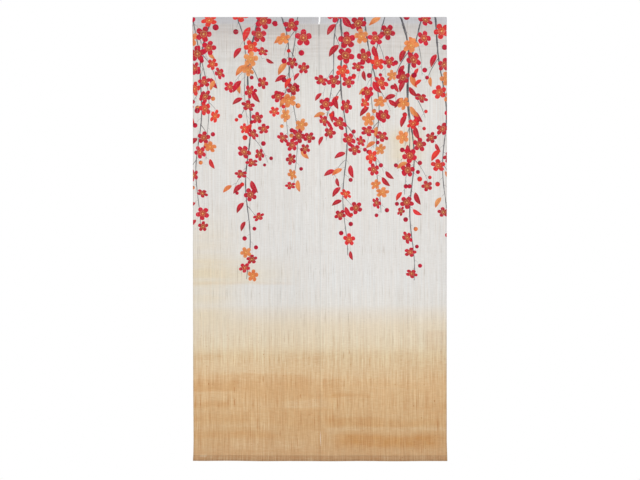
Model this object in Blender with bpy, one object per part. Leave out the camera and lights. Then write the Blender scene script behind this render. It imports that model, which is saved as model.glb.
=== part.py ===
"""A noren: a split doorway curtain of two hemp cloth widths, hanging from an empty rod sleeve.

Metres, +Z up. The origin is the middle of the top edge, X runs across the curtain and the front faces -Y.
Each cloth width gives two solids: its rod sleeve, a tube of doubled cloth with a flat stitched strip below it,
and its panel, one sheet with its side hem and bottom hem turned to the back.
"""

import bmesh
import bpy
import numpy as np

MM = 0.001

# Driving sizes
HEIGHT = 1500 * MM
CLOTH = 1.2 * MM
SIDE_HEM = 17 * MM
BOTTOM_HEM = 18 * MM
HEM_TURN = 0.9 * MM
HEM_STEP = 0.4 * MM
SEAM_LENGTH = 300 * MM
APART = 0.3 * MM

# The rod sleeve: a round top and two straight walls that meet at the stitch line, above a flat strip
SLEEVE_RADIUS = 10 * MM
STITCH_DEPTH = 49 * MM
STRIP_DEPTH = 63 * MM

# The outline, read at depths below the top edge: both sides and the line between the panels, in mm
OUTLINE = np.array(
    [
        # depth, left, centre, right
        (0, -428.7, -2.7, 428.2),
        (30, -430.6, -2.7, 428.1),
        (110, -428.9, -2.5, 429.0),
        (280, -428.7, -0.8, 429.5),
        (620, -428.4, 1.2, 428.7),
        (950, -428.2, 2.0, 428.3),
        (1250, -427.2, 2.4, 428.5),
        (1430, -426.0, 2.7, 428.7),
        (1475, -426.8, 2.7, 430.0),
        (1500, -428.4, 2.7, 430.8),
    ]
)
DEPTH, LEFT, CENTRE, RIGHT = OUTLINE.T * MM

# The hook gap between the two sleeves leans to the left, and ends above the stitch line, in mm
HOOK_GAP = np.array(
    [
        # depth, left side, right side
        (0, -3.4, 2.1),
        (13, -4.0, 1.7),
        (24, -6.4, -0.8),
    ]
)
GAP_DEPTH, GAP_LEFT, GAP_RIGHT = HOOK_GAP.T * MM
GAP_END = 25 * MM

# Below the seam the slit is closed but for a short stretch above the hem
SLIT_WIDTH = 0.5 * MM
SLIT_OPENING = 1.9 * MM
SLIT_OPENING_DEPTH = 1425 * MM
SLIT_OPENING_REACH = 22 * MM

# The bottom edge rises a little towards the left corner: places across and the cloth's length there, in mm
BOTTOM = np.array([(-430, 1498.8), (-66, 1500.2), (430, 1500.0)])
BOTTOM_X, BOTTOM_LENGTH = BOTTOM.T * MM

# The soft folds of the hang, in mm: each starts below the rod, grows to its rise at the hem and drifts sideways
FOLDS = np.array(
    [
        # x at hem, drift from the top, half width, start depth, rise to the front
        (-398, 10, 46, 700, 3.2),
        (-305, -14, 58, 380, -3.6),
        (-192, 12, 54, 160, 4.4),
        (-78, -8, 56, 520, -2.8),
        (42, 10, 48, 300, 3.4),
        (146, -16, 62, 120, -3.9),
        (258, 12, 56, 450, 4.6),
        (371, -8, 50, 240, -3.0),
    ]
)

# How finely the cloth is divided
SLEEVE_SPANS = 10
ARCH_POINTS = 9
PANEL_COLUMNS = 20
PANEL_ROWS = 30

SIDES = {"left": -1, "right": 1}
UNDYED = (0.73, 0.69, 0.64)
DYED = (0.66, 0.50, 0.33)
ROUGHNESS = 0.9


def material(name, colour):
    """A matt cloth colour."""
    made = bpy.data.materials.new(name)
    made.use_nodes = True
    shader = made.node_tree.nodes["Principled BSDF"]
    shader.inputs["Base Color"].default_value = (*colour, 1)
    shader.inputs["Roughness"].default_value = ROUGHNESS
    shader.inputs["Metallic"].default_value = 0
    return made


def solid(name, points, faces, cloth):
    """One object from corner points and faces, with every face turned to point out of the closed body."""
    mesh = bpy.data.meshes.new(name)
    mesh.from_pydata(points.tolist(), [], faces)
    body = bmesh.new()
    body.from_mesh(mesh)
    bmesh.ops.recalc_face_normals(body, faces=body.faces)
    body.to_mesh(mesh)
    body.free()
    mesh.materials.append(cloth)
    made = bpy.data.objects.new(name, mesh)
    bpy.context.collection.objects.link(made)
    return made


def smoothstep(t):
    """0 below 0, 1 above 1 and the smooth cubic between them."""
    t = np.clip(t, 0, 1)
    return t * t * (3 - 2 * t)


def bell(t):
    """The bell curve, 1 at 0."""
    return np.exp(-(t**2))


def hang(x, depth):
    """How far the cloth hangs behind its own plane: minus the sum of the folds, each a bell curve across the cloth
    whose height grows by a smooth cubic from where the fold starts down to the hem."""
    behind = np.zeros(x.shape)
    for at, drift, half_width, start, rise in FOLDS * MM:
        middle = at - drift * (1 - depth / HEIGHT)
        behind -= rise * smoothstep((depth - start) / (HEIGHT - start)) * bell((x - middle) / half_width)
    return behind


def outer_edge(side, depth):
    """The side edge of one cloth width, read from the outline."""
    return np.interp(depth, DEPTH, LEFT if side == "left" else RIGHT)


def panel_edge(side, depth):
    """The inner edge of one panel: half a seam's gap from the centre line down the sewn stretch, and half the
    slit's width below it, with a bell curve where the slit stands open."""
    opened = SLIT_OPENING * bell((depth - SLIT_OPENING_DEPTH) / SLIT_OPENING_REACH)
    width = np.where(depth < SEAM_LENGTH, APART, SLIT_WIDTH + opened)
    return np.interp(depth, DEPTH, CENTRE) + SIDES[side] * width / 2


def sleeve_edge(side, depth):
    """The inner end of one sleeve: the hook gap's side down to the gap's end, and the seam below it."""
    beside_gap = np.interp(depth, GAP_DEPTH, GAP_LEFT if side == "left" else GAP_RIGHT)
    beside_seam = np.interp(depth, DEPTH, CENTRE) + SIDES[side] * APART / 2
    return np.where(depth < GAP_END, beside_gap, beside_seam)


def panel(side, cloth):
    """One cloth width below its sleeve, as a front grid and a back grid joined round the rim. The columns run from
    the inner edge to the side edge and the rows from the sleeve to the hem, with a pair of them where the back
    steps out at a hem."""
    hem_start = 1 - SIDE_HEM / abs(outer_edge(side, 0))
    step = HEM_STEP / abs(outer_edge(side, 0))
    across = np.concatenate([np.linspace(0, hem_start - step, PANEL_COLUMNS), [hem_start, 1]])
    opening = SLIT_OPENING_DEPTH + SLIT_OPENING_REACH * np.array([-2, -1, 0, 1])
    plain = np.linspace(STRIP_DEPTH + APART, opening[0], PANEL_ROWS, endpoint=False)
    seam_end = SEAM_LENGTH + np.array([-APART, 0])
    hem = HEIGHT - BOTTOM_HEM + np.array([-HEM_STEP, 0, BOTTOM_HEM])
    down = np.sort(np.concatenate([plain, seam_end, opening, hem]))

    share, depth = np.meshgrid(across, down)
    x = panel_edge(side, depth) * (1 - share) + outer_edge(side, depth) * share
    spare = np.interp(x, BOTTOM_X, BOTTOM_LENGTH) - HEIGHT
    z = -depth - spare * smoothstep((depth - SEAM_LENGTH) / (HEIGHT - SEAM_LENGTH))
    front = hang(x, depth) - CLOTH
    hemmed = (share >= hem_start) | (depth >= HEIGHT - BOTTOM_HEM)
    back = front + CLOTH + HEM_TURN * hemmed
    points = np.concatenate([np.stack([x, y, z], -1).reshape(-1, 3) for y in (front, back)])

    at = np.arange(x.size).reshape(x.shape)
    squares = np.stack([at[:-1, :-1], at[1:, :-1], at[1:, 1:], at[:-1, 1:]], -1).reshape(-1, 4)
    rim = np.concatenate([at[:, 0], at[-1, 1:], at[-2::-1, -1], at[0, -2:0:-1]])
    onward = np.roll(rim, -1)
    band = np.stack([rim, onward, onward + x.size, rim + x.size], -1)
    faces = np.concatenate([squares, squares + x.size, band])
    return solid(f"panel_{side}", points, faces.tolist(), cloth)


def sleeve_wall(radius, foot):
    """The sleeve's section as (depth, y) from the stitch line up the front, over the top and down the back: an arc
    about the sleeve's middle, and at both its ends the tangent to it from the foot, a point at the stitch line
    that far from the middle plane."""
    below = STITCH_DEPTH - SLEEVE_RADIUS
    leaves = np.arcsin(radius / np.hypot(below, foot)) - np.arctan2(foot, below)
    angle = np.linspace(-np.pi / 2, leaves, ARCH_POINTS)
    depth = SLEEVE_RADIUS + radius * np.sin(angle)
    out = radius * np.cos(angle)
    low = np.array([GAP_END - APART, GAP_END, (GAP_END + STITCH_DEPTH) / 2, STITCH_DEPTH])
    low_out = np.interp(low, [depth[-1], STITCH_DEPTH], [out[-1], foot])
    depth, out = np.append(depth, low), np.append(out, low_out)
    return np.append(depth[::-1], depth[1:]), np.append(-out[::-1], out[1:])


def sleeve_end(outer, inner):
    """The open end of a sleeve: squares between its two loops, a triangle where the walls meet at the stitch line
    and the strip's square below it."""
    back_foot = len(inner)
    inner = [*inner, inner[0]]
    walls = [(outer[k], inner[k], inner[k + 1], outer[k + 1]) for k in range(back_foot)]
    return [*walls, (outer[0], inner[0], outer[back_foot]), (outer[0], *outer[-1:-4:-1])]


def sleeve(side, cloth):
    """One rod sleeve, a tube open at both ends. Its outer loop runs round the walls and the strip below them, and
    its inner loop round the pocket. Both are carried from the inner end to the side edge."""
    depth, y = sleeve_wall(SLEEVE_RADIUS, CLOTH)
    outer = np.append(depth, [STRIP_DEPTH] * 2), np.append(y, [CLOTH, -CLOTH])
    depth, y = sleeve_wall(SLEEVE_RADIUS - CLOTH, 0)
    inner = depth[:-1], y[:-1]

    points, faces, rings, count = [], [], [], 0
    for depth, y in (outer, inner):
        share, down = np.meshgrid(np.linspace(0, 1, SLEEVE_SPANS + 1), depth, indexing="ij")
        x = sleeve_edge(side, down) * (1 - share) + outer_edge(side, down) * share
        points.append(np.stack([x, np.broadcast_to(y, x.shape), -down], -1).reshape(-1, 3))
        at = count + np.arange(x.size).reshape(x.shape)
        on = np.roll(at, -1, 1)
        faces += np.stack([at[:-1], on[:-1], on[1:], at[1:]], -1).reshape(-1, 4).tolist()
        rings.append(at.tolist())
        count += x.size
    for station in (0, -1):
        faces += sleeve_end(rings[0][station], rings[1][station])
    return solid(f"heading_{side}", np.concatenate(points), faces, cloth)


def main():
    for old in list(bpy.data.objects):
        bpy.data.objects.remove(old)
    for side in SIDES:
        sleeve(side, material(f"sleeve_hemp_{side}", UNDYED))
        panel(side, material(f"panel_hemp_{side}", DYED))


main()
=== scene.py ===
"""The looks of a noren: two hand-loomed hemp cloth widths, dyed and painted, under an empty rod sleeve.

Metres, +Z up. The origin is the middle of the top edge, X runs across the curtain and the front faces -Y.
"""

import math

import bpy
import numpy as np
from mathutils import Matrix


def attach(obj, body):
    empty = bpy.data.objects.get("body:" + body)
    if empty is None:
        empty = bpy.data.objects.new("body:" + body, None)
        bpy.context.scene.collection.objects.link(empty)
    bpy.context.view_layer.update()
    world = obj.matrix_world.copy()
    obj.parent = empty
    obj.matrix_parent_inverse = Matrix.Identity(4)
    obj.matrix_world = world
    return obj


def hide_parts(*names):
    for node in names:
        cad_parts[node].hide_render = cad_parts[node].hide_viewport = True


bl_info = {
    "name": "Noren curtain",
    "version": (1, 0, 0),
    "blender": (4, 5, 0),
    "location": "3D View > Sidebar > Noren",
    "description": "Cloth, stitching and studio for a split doorway curtain of hand-dyed hemp",
    "category": "Object",
}

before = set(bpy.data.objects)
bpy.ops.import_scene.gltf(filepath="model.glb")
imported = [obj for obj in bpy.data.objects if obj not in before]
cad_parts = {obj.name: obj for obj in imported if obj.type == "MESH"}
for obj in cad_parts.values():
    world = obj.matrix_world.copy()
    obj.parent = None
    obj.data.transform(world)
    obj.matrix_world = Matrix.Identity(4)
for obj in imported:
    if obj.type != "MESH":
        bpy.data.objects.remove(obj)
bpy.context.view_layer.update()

MM = 0.001
SIDES = {"left": -1, "right": 1}

# Sizes of the curtain, as its solids have them
HEIGHT = 1500 * MM
CLOTH_WIDTH = 428.5 * MM
SLEEVE_RADIUS = 10 * MM
STITCH_DEPTH = 49 * MM
STRIP_DEPTH = 63 * MM
GAP_END = 25 * MM
SEAM_END = 300 * MM
SIDE_HEM = 17 * MM
BOTTOM_HEM = 18 * MM

# The outline at depths below the top edge: both sides and the line between the panels, in mm
OUTLINE = np.array([
    # depth, left, centre, right
    (0, -428.7, -2.7, 428.2),
    (30, -430.6, -2.7, 428.1),
    (110, -428.9, -2.5, 429.0),
    (280, -428.7, -0.8, 429.5),
    (620, -428.4, 1.2, 428.7),
    (950, -428.2, 2.0, 428.3),
    (1250, -427.2, 2.4, 428.5),
    (1430, -426.0, 2.7, 428.7),
    (1475, -426.8, 2.7, 430.0),
    (1500, -428.4, 2.7, 430.8),
])
DEPTH, LEFT, CENTRE, RIGHT = OUTLINE.T * MM

# The hook gap between the two sleeves, in mm
HOOK_GAP = np.array([
    # depth, left side, right side
    (0, -3.4, 2.1),
    (13, -4.0, 1.7),
    (24, -6.4, -0.8),
])
GAP_DEPTH, GAP_LEFT, GAP_RIGHT = HOOK_GAP.T * MM

# The bottom edge: places across and the cloth's length there, in mm
BOTTOM_X, BOTTOM_LENGTH = np.array([(-430, 1498.8), (-66, 1500.2), (430, 1500.0)]).T * MM

# The soft folds of the hang, in mm
FOLDS = np.array([
    # x at hem, drift from the top, half width, start depth, rise to the front
    (-398, 10, 46, 700, 3.2),
    (-305, -14, 58, 380, -3.6),
    (-192, 12, 54, 160, 4.4),
    (-78, -8, 56, 520, -2.8),
    (42, 10, 48, 300, 3.4),
    (146, -16, 62, 120, -3.9),
    (258, 12, 56, 450, 4.6),
    (371, -8, 50, 240, -3.0),
])

# Puckers along the stitch rows: height, wave, wander in radians, slow wave and reach, lengths in mm
SLEEVE_PUCKER = (0.30, 6.1, 2, 37, 16)
HEM_PUCKER = (0.35, 7.3, 3, 61, 18)
SIDE_PUCKER = (0.45, 9.7, 3, 83, 24)

# Where the slit stands open, and how the two edges lap over each other elsewhere
SLIT_OPENING = 0.6 * MM
SLIT_OPENING_DEPTH = 1425 * MM
SLIT_OPENING_REACH = 42 * MM
BUTTED = 0.06 * MM
LAP_WIDTH = 1.2 * MM
LAP_RISE = 0.35 * MM
LAP_REACH = 7 * MM
LAP_FROM = 70 * MM

# The cloth's layers: where the front one lies and how far apart two that touch are
FRONT_Y = -0.75 * MM
LAYER = 0.6 * MM
ARC_POINTS = 13
TURN_POINTS = 7

# Brush strokes of darker or, where negative, lighter dye, in mm
STROKES = np.array([
    # from x, to x, from depth, to depth, soft sides, soft top, soft bottom, strength
    (-700, -338, 1135, 1154, 16, 10, 10, 0.30),
    (-150, 0, 1125, 1165, 70, 16, 16, 0.18),
    (-410, -190, 1152, 1196, 60, 14, 12, -0.55),
    (-700, -320, 1202, 1222, 30, 14, 8, 0.20),
    (-330, -70, 1202, 1270, 70, 10, 40, 0.38),
    (-700, -296, 1221, 1260, 26, 8, 8, 0.58),
    (-700, -250, 1262, 1290, 30, 8, 14, -0.12),
    (-700, -318, 1292, 1317, 20, 16, 4, 0.54),
    (-150, 10, 1216, 1276, 80, 22, 14, 0.14),
    (-150, 0, 1286, 1318, 60, 12, 3, -0.30),
    (-200, 2, 1321, 1362, 90, 3, 40, 0.24),
    (-700, -262, 1336, 1362, 40, 12, 22, 0.26),
    (-700, -176, 1393, 1413, 50, 14, 18, 0.44),
    (-340, -60, 1425, 1458, 60, 12, 10, -0.20),
    (-700, -190, 1366, 1384, 60, 10, 10, -0.16),
    (-700, -110, 895, 901, 40, 4, 5, 0.16),
    (-60, 700, 789, 794, 60, 4, 5, 0.05),
    (-408, -384, 1476, 1485, 3, 3, 3, -0.75),
    (260, 700, 1150, 1200, 60, 12, 34, 0.10),
    (4, 250, 1132, 1206, 40, 14, 20, -0.20),
    (2, 60, 1221, 1286, 16, 5, 24, 0.28),
    (28, 156, 1262, 1282, 18, 14, 6, 0.44),
    (352, 700, 1056, 1116, 16, 7, 30, 0.22),
    (342, 700, 1302, 1336, 16, 7, 20, 0.28),
    (10, 200, 1346, 1380, 24, 16, 5, 0.58),
    (180, 700, 1354, 1379, 50, 16, 5, 0.38),
    (10, 700, 1386, 1403, 16, 3, 12, -0.26),
    (20, 385, 1390, 1440, 70, 34, 28, 0.88),
    (150, 350, 1408, 1438, 60, 20, 20, 0.22),
])
STROKE_WAVE = 1.4 * MM

# Soft patches of thin golden dye on the undyed cloth, in rows like the strokes'
CLOUDS = np.array([
    (-700, -400, 600, 1010, 190, 190, 60, 0.32),
    (-700, -300, 780, 893, 280, 100, 18, 0.44),
    (-700, -380, 880, 1000, 120, 40, 50, 0.14),
    (195, 300, 350, 458, 80, 60, 70, 0.55),
])

# Knots and single dark threads that stand out in the weave, in mm
MARKS = np.array([
    # x, depth, half width, half length, strength
    (387.1, 1297.2, 2.6, 3.4, 0.80),
    (316.5, 1313.0, 2.6, 3.4, 0.60),
    (343.5, 1354.6, 2.4, 3.4, 0.60),
    (409.4, 1130.0, 2.0, 13.0, 0.65),
    (98.6, 1131.0, 1.7, 8.0, 0.65),
    (79.7, 1142.0, 1.7, 15.0, 0.65),
    (141.9, 1145.0, 1.5, 14.0, 0.50),
    (-68.9, 1280.3, 2.0, 9.0, 0.70),
    (-376.7, 1240.0, 2.6, 4.4, 0.60),
    (-191.9, 1139.8, 2.8, 2.8, 0.75),
    (-193.2, 1222.0, 1.8, 15.0, 0.75),
    (-290.5, 1260.0, 1.7, 13.0, 0.60),
    (-290.5, 1302.0, 1.7, 16.0, 0.70),
    (-212.1, 1338.0, 1.5, 88.0, 0.55),
    (-136.8, 1407.0, 1.7, 14.0, 0.60),
    (-77.7, 1437.0, 1.7, 20.0, 0.60),
    (-37.8, 1344.0, 5.0, 1.6, 0.60),
    (-139.8, 213.0, 1.6, 110.0, 0.40),
])

# The photograph: the curtain's scale and place in its frame of 640 by 480, and the camera's sensor in mm
PIXEL = 3.378 * MM
FRAME_WIDTH = 640
FRAME_HEIGHT = 480
TOP_ROW = 17.0
MIDDLE_COLUMN = 319.8
SENSOR = 36

# The painted design: weeping twigs from the top edge
STRANDS = np.array([
    # x in mm, lean at the top in degrees, length and half width in mm
    (-437, 26, 520, 2.0),
    (-344, -24, 742, 3.0),
    (-292, 20, 430, 1.9),
    (-196, -16, 924, 3.7),
    (-142, 26, 600, 2.3),
    (-66, -20, 470, 1.9),
    (58, 12, 836, 3.3),
    (76, -22, 450, 2.0),
    (142, 24, 700, 2.8),
    (224, -18, 480, 1.9),
    (258, 20, 926, 3.8),
    (352, -22, 640, 2.4),
    (384, 18, 780, 3.1),
])
DESIGN_SEED = 23
PAINT_TOP = -30 * MM
TWIG_STEP = 5 * MM
TWIG_BEND = 150 * MM
TWIG_SWAY = 0.13
TWIG_TAPER = 0.72
TWIG_FIRST = 18 * MM
TWIG_MOTIF = 31 * MM
SHOOT_EVERY = 120 * MM
SHOOT_LENGTHS = (70 * MM, 150 * MM)
SHOOT_BEND = 90 * MM
SHOOT_FIRST = 36 * MM
SHOOT_MOTIF = 28 * MM
STEM_BEND = 40 * MM
STEM_HALF_WIDTH = 0.45
SEAM_CLEAR = 9 * MM
SEAM_CLEAR_DEPTH = 120 * MM

# Kinds of motif, their reach beside the twig's motif size, and the paints that they are drawn from
BLOSSOM, LEAF, BUD = 0, 1, 2
REACH = {BLOSSOM: 1.0, LEAF: 0.86, BUD: 0.40}
HUES = (0.10, 0.42, 0.86)
HUE_SHARES = (0.66, 0.17, 0.17)
HUE_SPREAD = 0.12
PETALS = 5
STAMENS = 15
VEINS = 25

# Layers of paint that one cell of the cloth can hold, and the place given where a layer holds none
MOTIF_LAYERS = 4
TWIG_LAYERS = 3
EMPTY = 9.0


def colour(red, green, blue):
    """A colour as it looks, 0 to 255, as the linear RGBA that shaders take."""
    looks = np.array([red, green, blue]) / 255
    linear = np.where(looks <= 0.04045, looks / 12.92, ((looks + 0.055) / 1.055) ** 2.4)
    return (*linear.tolist(), 1.0)


# Dye down the cloth's length, in mm from the top edge, undyed greige above and brushed tan below. The stops
# down
# to 190 mm also hold painted shade: a dark grey at the sleeve's round top, a cool painted lit band under it,
# and a grey painted shade over the doubled sleeve and below it that lightens down to 190 mm.
GROUND_DYE_AND_SHADE = [
    (-6, colour(191, 190, 192)),
    (21, colour(206, 205, 208)),
    (26, colour(207, 203, 200)),
    (49, colour(208, 202, 198)),
    (60, colour(211, 206, 202)),
    (110, colour(215, 211, 207)),
    (190, colour(221, 219, 215)),
    (310, colour(226, 223, 219)),
    (900, colour(227, 225, 222)),
    (970, colour(227, 224, 219)),
    (994, colour(227, 220, 209)),
    (1040, colour(227, 215, 194)),
    (1108, colour(226, 211, 184)),
    (1142, colour(222, 201, 166)),
    (1243, colour(219, 186, 142)),
    (1378, colour(211, 176, 131)),
    (1480, colour(205, 168, 125)),
]
GROUND_FROM = -10 * MM
GROUND_TO = 1500 * MM
DYE_DRIFT = 16 * MM
DYE_FRINGE = 6 * MM
GOLDEN = colour(227, 210, 174)
STROKE_DARK = colour(196, 138, 70)
STROKE_LIGHT = colour(222, 199, 164)
# Painted shade for the doubled bottom hem, which lets less light through
HEM_PAINTED_SHADE = colour(242, 236, 234)
THREAD_PALE = colour(208, 200, 194)
THREAD_TAN = colour(194, 152, 108)

# Paints, from crimson over vermilion and orange to amber
DEEP_PAINTS = [
    (0.0, colour(140, 6, 38)),
    (0.28, colour(176, 10, 44)),
    (0.52, colour(212, 38, 32)),
    (0.76, colour(220, 104, 50)),
    (1.0, colour(206, 132, 78)),
]
LIGHT_PAINTS = [
    (0.0, colour(206, 14, 54)),
    (0.28, colour(224, 22, 60)),
    (0.52, colour(242, 64, 42)),
    (0.76, colour(245, 156, 94)),
    (1.0, colour(240, 186, 120)),
]
VEIN_PAINT = colour(208, 116, 70)
STAMEN_PAINT = colour(246, 212, 120)
CALYX_PAINT = colour(88, 54, 58)
TWIG_DARK = colour(50, 52, 62)
TWIG_LIGHT = colour(108, 102, 106)

# Noises on the cloth: one wave across and along it in mm, seed, octaves and roughness
NOISES = {
    "dye drift": (120, 500, 1, 2, 0.5),
    "dye fringe": (4, 300, 2, 2, 0.5),
    "clouds": (320, 30, 4, 3, 0.5),
    "mottle": (110, 13, 5, 4, 0.6),
    "brush": (50, 50, 6, 2, 0.5),
    "broad streaks": (3.4, 800, 7, 2, 0.75),
    "fine streaks": (2.4, 70, 8, 1, 0.5),
    "weft grain": (22, 2.8, 9, 2, 0.6),
    "tint": (4.2, 200, 10, 1, 0.5),
    "dark slubs": (2.1, 75, 11, 0, 0.5),
    "pale slubs": (2.6, 50, 12, 0, 0.5),
    "knots": (3.4, 7.5, 13, 0, 0.5),
    "paint grain": (1.6, 30, 14, 1, 0.5),
    "weft rows": (200, 8.5, 15, 1, 0.5),
}

# How strongly the weave marks red, green and blue, and how much more where the cloth is dyed
SLUB_SHARES = ((0.82, 0.36), (0.96, 1.25), (1.12, 1.95))
THREAD_PITCH = 1.15 * MM


def smoothstep(t):
    """0 below 0, 1 above 1 and the smooth cubic between them."""
    t = np.clip(t, 0, 1)
    return t * t * (3 - 2 * t)


def bell(t):
    """The bell curve, 1 at 0."""
    return np.exp(-(t**2))


# Shape of the hanging cloth


def hang(x, depth):
    """How far the cloth hangs behind its own plane: minus the sum of the folds, each a bell curve across the
    cloth whose height grows by a smooth cubic from where the fold starts down to the hem."""
    behind = np.zeros(np.broadcast(x, depth).shape)
    for at, drift, half_width, start, rise in FOLDS * MM:
        middle = at - drift * (1 - depth / HEIGHT)
        behind -= rise * smoothstep((depth - start) / (HEIGHT - start)) * bell((x - middle) / half_width)
    return behind


def pucker(along, away, kind):
    """A sine along a stitch row, its phase wandering with a slow sine, times a bell curve across the row."""
    height, wave, wander, slow, reach = kind
    phase = along / (wave * MM) + wander * np.sin(along / (slow * MM))
    return height * MM * np.sin(phase) * bell(away / (reach * MM))


def ripple(x, depth, inward):
    """Puckers beside the stitch rows of the sleeve, the bottom hem and the side hem, and a faint unevenness
    all over, of slow sines."""
    below = depth - STITCH_DEPTH
    near_sleeve = pucker(x, below - 9 * MM, SLEEVE_PUCKER) * smoothstep(below / (6 * MM))
    near_hem = pucker(x, depth - (HEIGHT - BOTTOM_HEM), HEM_PUCKER)
    near_side = pucker(depth, inward, SIDE_PUCKER)
    wide = np.sin(x / (31 * MM) + 1.3 * np.sin(depth / (140 * MM))) * np.sin(depth / (210 * MM))
    return near_sleeve + near_hem + (near_side + 0.35 * MM * wide) * smoothstep(below / (14 * MM))


def slack(x, depth):
    """How far the empty sleeve has sunk together, as a factor on its thickness: slow sines along it that die
    out at the stitch line."""
    wave = 0.5 + 0.3 * np.sin(x / (43 * MM)) + 0.2 * np.sin(x / (17 * MM) + 1)
    return 1 - 0.24 * wave * smoothstep((STITCH_DEPTH - depth) / (20 * MM))


def outer_edge(side, depth):
    """The side edge of one cloth width, read from the outline."""
    return np.interp(depth, DEPTH, LEFT if side == "left" else RIGHT)


def lapping(depth):
    """The share of the widths' full lap at a depth: 0 down to STRIP_DEPTH, 1 from LAP_FROM."""
    return smoothstep((depth - STRIP_DEPTH) / (LAP_FROM - STRIP_DEPTH))


def inner_edge(side, depth):
    """The inner edge of one cloth width: the hook gap's side above the gap's end, butted in the sewn sleeves
    below it, then lapping over its neighbour, with a bell curve where the slit stands open."""
    beside_gap = np.interp(depth, GAP_DEPTH, GAP_LEFT if side == "left" else GAP_RIGHT)
    opening = bell((depth - SLIT_OPENING_DEPTH) / SLIT_OPENING_REACH)
    apart = BUTTED - LAP_WIDTH * lapping(depth) + (SLIT_OPENING + LAP_WIDTH) * opening
    beside_line = np.interp(depth, DEPTH, CENTRE) + SIDES[side] * apart / 2
    return np.where(depth < GAP_END, beside_gap, beside_line)


def cloth_path():
    """The path of the cloth's length in the curtain's section, as rows of (length, depth, y, turned share).

    From the turned edge at the back of the sleeve up the back wall, over the top on an arc, down the front
    wall to the stitch line, down the panel, round a half circle at the bottom edge and up to the hem's turned
    edge. The walls are the arc's tangents. Length is counted so that it equals the depth on the panel. The
    turned share is 0 on the front layer and 1 on a layer that lies behind it."""
    radius = SLEEVE_RADIUS - LAYER / 2
    below = STITCH_DEPTH - SLEEVE_RADIUS

    def leaves(foot):
        return math.asin(radius / math.hypot(below, foot)) - math.atan2(foot, below)

    back, top, front = leaves(FRONT_Y + LAYER), -math.pi / 2, leaves(-FRONT_Y)
    rising, falling = np.linspace(back, top, ARC_POINTS), np.linspace(top, front, ARC_POINTS)[1:]
    angle = np.concatenate([rising, falling])
    facing = np.where(np.arange(angle.size) < ARC_POINTS, 1, -1)
    arc = np.stack([SLEEVE_RADIUS + radius * np.sin(angle), facing * radius * np.cos(angle), angle * 0], 1)
    turn = np.linspace(0, math.pi, TURN_POINTS)
    turned = (1 - np.cos(turn)) / 2
    round_hem = np.stack([HEIGHT - LAYER / 2 + LAYER / 2 * np.sin(turn), FRONT_Y + LAYER * turned, turned], 1)
    points = np.concatenate(
        [
            [(STRIP_DEPTH, FRONT_Y + LAYER, 1), (STITCH_DEPTH, FRONT_Y + LAYER, 1)],
            arc,
            [(STITCH_DEPTH, FRONT_Y, 0)],
            round_hem,
            [(HEIGHT - BOTTOM_HEM, FRONT_Y + LAYER, 1)],
        ]
    )
    length = np.append(0, np.cumsum(np.hypot(*np.diff(points[:, :2], axis=0).T)))
    foot = 2 + len(arc)
    return np.column_stack([length - length[foot] + STITCH_DEPTH, points])


PATH = cloth_path()
BACK_FOOT = 1
TOP = BACK_FOOT + ARC_POINTS
FRONT_FOOT = TOP + ARC_POINTS
SLEEVE_TOP = PATH[TOP, 0]
HEM_LENGTHS = PATH[-TURN_POINTS - 1 :, 0]


def place(side, inward, under, along):
    """Points of one cloth width, from a distance inward from its side edge, a distance under its outer
    layer's middle and a length along the cloth. The path gives depth, y and its normal in the section, the
    two edges give x between them, and the folds, ripples and lap are added to y."""
    length, depth_at, y_at, turned_at = PATH.T
    depth = np.interp(along, length, depth_at)
    turned = np.interp(along, length, turned_at)
    step = 0.05 * MM
    rise = np.interp(along - step, length, depth_at) - np.interp(along + step, length, depth_at)
    run = np.interp(along + step, length, y_at) - np.interp(along - step, length, y_at)
    size = np.maximum(np.hypot(rise, run), 1e-9)
    share = inward / CLOTH_WIDTH
    x = inner_edge(side, depth) * share + outer_edge(side, depth) * (1 - share)
    beside_hem = 1 - smoothstep((inward - SIDE_HEM) / (5 * MM))
    y = np.interp(along, length, y_at) * slack(x, depth) + 2 * LAYER * beside_hem * turned
    lap = LAP_RISE * bell((CLOTH_WIDTH - inward) / LAP_REACH) * lapping(depth)
    y = y - rise / size * under + hang(x, depth) + ripple(x, depth, inward) - SIDES[side] * lap
    spare = np.interp(x, BOTTOM_X, BOTTOM_LENGTH) - HEIGHT
    down = depth - run / size * under + spare * smoothstep((depth - SEAM_END) / (HEIGHT - SEAM_END))
    return np.stack(np.broadcast_arrays(x, y, -down), -1)


# Meshes


def stations(marks, spacing):
    """The marks, with equal steps of at most the spacing between each two."""
    steps = []
    for low, high in zip(marks[:-1], marks[1:]):
        count = math.ceil((high - low) / spacing - 1e-6)
        steps.append(np.linspace(low, high, count + 1)[:-1])
    return np.append(np.concatenate(steps), marks[-1])


def add_mesh(name, points, faces, material, corners=(), values=(), sharp=math.radians(50)):
    """One object from whole arrays: points, face arrays each of one width, vectors for each face corner and
    vectors for each point."""
    mesh = bpy.data.meshes.new(name)
    mesh.vertices.add(len(points))
    mesh.vertices.foreach_set("co", np.ascontiguousarray(points, dtype=np.float32).ravel())
    loops = np.concatenate([kind.ravel() for kind in faces]).astype(np.int32)
    mesh.loops.add(len(loops))
    mesh.loops.foreach_set("vertex_index", loops)
    widths = np.concatenate([np.full(len(kind), kind.shape[1]) for kind in faces])
    mesh.polygons.add(len(widths))
    mesh.polygons.foreach_set("loop_start", np.append(0, np.cumsum(widths)[:-1]).astype(np.int32))
    mesh.update(calc_edges=True)
    for domain, arrays in (("CORNER", corners), ("POINT", values)):
        for title, array in dict(arrays).items():
            data = mesh.attributes.new(title, "FLOAT_VECTOR", domain).data
            data.foreach_set("vector", np.ascontiguousarray(array, dtype=np.float32).ravel())
    mesh.shade_smooth()
    mesh.set_sharp_from_angle(angle=sharp)
    mesh.materials.append(material)
    made = bpy.data.objects.new(name, mesh)
    bpy.context.scene.collection.objects.link(made)
    return made


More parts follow.
